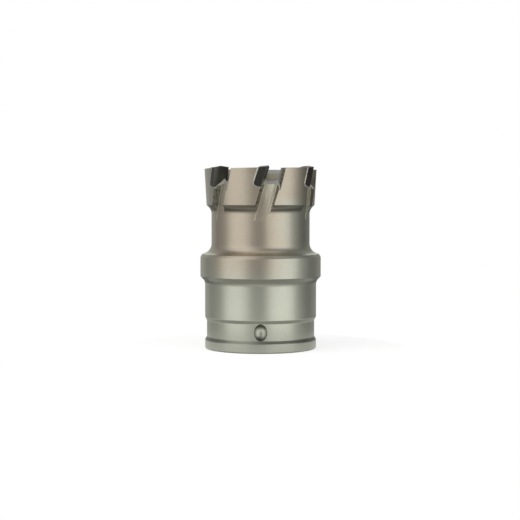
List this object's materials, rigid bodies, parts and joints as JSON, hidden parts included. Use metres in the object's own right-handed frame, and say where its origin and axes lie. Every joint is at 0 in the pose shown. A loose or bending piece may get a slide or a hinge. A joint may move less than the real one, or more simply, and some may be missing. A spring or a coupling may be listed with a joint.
{
  "type": "hole cutter",
  "caption": "Carbide-tipped annular hole cutter: hollow steel body with a grooved shank collar, drive flange, barrel and fluted crown of brazed teeth.",
  "frame": {"origin": "centre of the shank's bottom face, on the cutter's axis", "axes": "+Z along the axis from the shank end to the teeth; -Y through the detent dimple in the groove; seen from the teeth the cutter turns counter-clockwise about +Z"},
  "size_m": [0.0296, 0.0296, 0.0447],
  "materials": {
    "nickel_plated_steel": "satin nickel plate over bead-blasted steel",
    "tungsten_carbide": "ground, dark grey",
    "silver_braze": "dull, as brazed"
  },
  "bodies": {
    "root": {"cutter_body": "nickel_plated_steel", "carbide_tip_1": "tungsten_carbide", "carbide_tip_2": "tungsten_carbide", "carbide_tip_3": "tungsten_carbide", "carbide_tip_4": "tungsten_carbide", "carbide_tip_5": "tungsten_carbide", "carbide_tip_6": "tungsten_carbide", "braze_seam_1": "silver_braze", "braze_seam_2": "silver_braze", "braze_seam_3": "silver_braze", "braze_seam_4": "silver_braze", "braze_seam_5": "silver_braze", "braze_seam_6": "silver_braze"}
  },
  "joints": []
}
